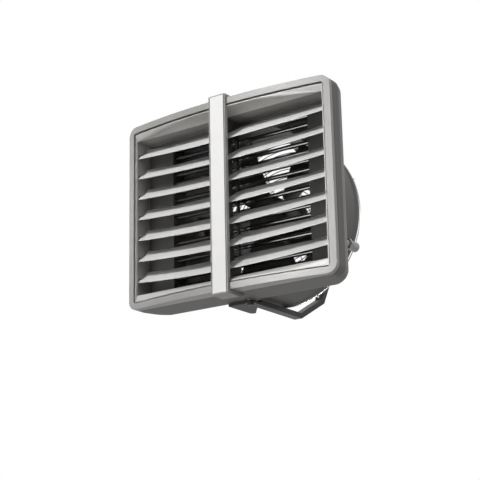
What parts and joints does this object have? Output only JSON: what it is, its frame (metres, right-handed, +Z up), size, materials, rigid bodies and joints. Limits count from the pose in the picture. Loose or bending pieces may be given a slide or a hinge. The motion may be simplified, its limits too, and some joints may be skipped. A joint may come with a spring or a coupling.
{
  "type": "fan heater with water coil",
  "caption": "Box-shaped fan heater with a bowed louvred front, a water coil, an axial fan and a C-shaped swivel yoke.",
  "frame": {"origin": "middle of the yoke's contact face, halfway between the two wall bolts", "axes": "+Y points into the wall, the front looks along -Y, +Z is up, X runs along the width"},
  "size_m": [0.66, 0.558, 0.558],
  "materials": {
    "dark_steel": "powder coated, satin",
    "grey_plastic": "fine moulded grain, light grey",
    "white_bar": "smooth, near white",
    "frame_plastic": "fine moulded grain, light grey",
    "louvre_metal": "satin light grey",
    "dark_sheet": "dark satin sheet",
    "tube_copper": "dull drawn tube",
    "carrier_plastic": "fine moulded grain, mid grey",
    "black_bolt": "blackened steel",
    "shell_plastic": "fine moulded grain, mid grey",
    "shroud_plastic": "dark grey satin",
    "guard_wire": "bright plated wire",
    "zinc": "zinc plated",
    "motor_black": "black coated casting",
    "blade_plastic": "black moulded plastic",
    "black_plastic": "black moulded plastic",
    "ground_steel": "ground steel",
    "stub_metal": "dull grey metal"
  },
  "bodies": {
    "bracket": {"yoke": "dark_steel", "pivot_bolts": "black_bolt", "pivot_washers": "zinc"},
    "housing": {"pivot_inserts": "zinc", "front_bezel": "grey_plastic", "centre_bar": "white_bar", "bar_carrier": "carrier_plastic", "centre_post": "black_plastic", "louvre_frame": "frame_plastic", "frame_seal": "black_plastic", "louvre_bushes": "black_plastic", "coil_baffle": "dark_sheet", "coil_end_plates": "dark_sheet", "coil_tubes": "tube_copper", "supply_header": "tube_copper", "return_header": "tube_copper", "supply_stub": "stub_metal", "return_stub": "stub_metal", "air_vent": "tube_copper", "rear_shell": "shell_plastic", "casing_screws": "zinc", "fan_shroud": "shroud_plastic", "wire_guard": "guard_wire", "guard_screws": "zinc", "motor_stator": "motor_black", "motor_bearings": "ground_steel", "terminal_box": "black_plastic", "terminal_lid": "black_plastic", "cable_gland": "black_plastic", "lid_screws": "zinc"},
    "rotor": {"motor_shaft": "ground_steel", "fan_hub": "motor_black", "fan_blades": "blade_plastic"},
    "louvre_left_1": {"louvre_left_1": "louvre_metal"},
    "louvre_left_2": {"louvre_left_2": "louvre_metal"},
    "louvre_left_3": {"louvre_left_3": "louvre_metal"},
    "louvre_left_4": {"louvre_left_4": "louvre_metal"},
    "louvre_left_5": {"louvre_left_5": "louvre_metal"},
    "louvre_left_6": {"louvre_left_6": "louvre_metal"},
    "louvre_left_7": {"louvre_left_7": "louvre_metal"},
    "louvre_right_1": {"louvre_right_1": "louvre_metal"},
    "louvre_right_2": {"louvre_right_2": "louvre_metal"},
    "louvre_right_3": {"louvre_right_3": "louvre_metal"},
    "louvre_right_4": {"louvre_right_4": "louvre_metal"},
    "louvre_right_5": {"louvre_right_5": "louvre_metal"},
    "louvre_right_6": {"louvre_right_6": "louvre_metal"},
    "louvre_right_7": {"louvre_right_7": "louvre_metal"}
  },
  "joints": [
    {"name": "swivel", "type": "hinge", "parent": "bracket", "child": "housing", "pos_m": [0, -0.414, 0], "axis": [0, 0, 1], "range_deg": [-45, 45]},
    {"name": "fan_spin", "type": "hinge", "parent": "housing", "child": "rotor", "pos_m": [0, -0.293, -0.01], "axis": [0, 1, 0], "continuous": true},
    {"name": "tilt_left_1", "type": "hinge", "parent": "housing", "child": "louvre_left_1", "pos_m": [0, -0.5027, 0.18], "axis": [1, 0, 0], "range_deg": [-22, 30]},
    {"name": "tilt_left_2", "type": "hinge", "parent": "housing", "child": "louvre_left_2", "pos_m": [0, -0.5027, 0.12], "axis": [1, 0, 0], "range_deg": [-22, 30]},
    {"name": "tilt_left_3", "type": "hinge", "parent": "housing", "child": "louvre_left_3", "pos_m": [0, -0.5027, 0.06], "axis": [1, 0, 0], "range_deg": [-22, 30]},
    {"name": "tilt_left_4", "type": "hinge", "parent": "housing", "child": "louvre_left_4", "pos_m": [0, -0.5027, 0], "axis": [1, 0, 0], "range_deg": [-22, 30]},
    {"name": "tilt_left_5", "type": "hinge", "parent": "housing", "child": "louvre_left_5", "pos_m": [0, -0.5027, -0.06], "axis": [1, 0, 0], "range_deg": [-22, 30]},
    {"name": "tilt_left_6", "type": "hinge", "parent": "housing", "child": "louvre_left_6", "pos_m": [0, -0.5027, -0.12], "axis": [1, 0, 0], "range_deg": [-22, 30]},
    {"name": "tilt_left_7", "type": "hinge", "parent": "housing", "child": "louvre_left_7", "pos_m": [0, -0.5027, -0.18], "axis": [1, 0, 0], "range_deg": [-22, 30]},
    {"name": "tilt_right_1", "type": "hinge", "parent": "housing", "child": "louvre_right_1", "pos_m": [0, -0.5027, 0.18], "axis": [1, 0, 0], "range_deg": [-22, 30]},
    {"name": "tilt_right_2", "type": "hinge", "parent": "housing", "child": "louvre_right_2", "pos_m": [0, -0.5027, 0.12], "axis": [1, 0, 0], "range_deg": [-22, 30]},
    {"name": "tilt_right_3", "type": "hinge", "parent": "housing", "child": "louvre_right_3", "pos_m": [0, -0.5027, 0.06], "axis": [1, 0, 0], "range_deg": [-22, 30]},
    {"name": "tilt_right_4", "type": "hinge", "parent": "housing", "child": "louvre_right_4", "pos_m": [0, -0.5027, 0], "axis": [1, 0, 0], "range_deg": [-22, 30]},
    {"name": "tilt_right_5", "type": "hinge", "parent": "housing", "child": "louvre_right_5", "pos_m": [0, -0.5027, -0.06], "axis": [1, 0, 0], "range_deg": [-22, 30]},
    {"name": "tilt_right_6", "type": "hinge", "parent": "housing", "child": "louvre_right_6", "pos_m": [0, -0.5027, -0.12], "axis": [1, 0, 0], "range_deg": [-22, 30]},
    {"name": "tilt_right_7", "type": "hinge", "parent": "housing", "child": "louvre_right_7", "pos_m": [0, -0.5027, -0.18], "axis": [1, 0, 0], "range_deg": [-22, 30]}
  ]
}
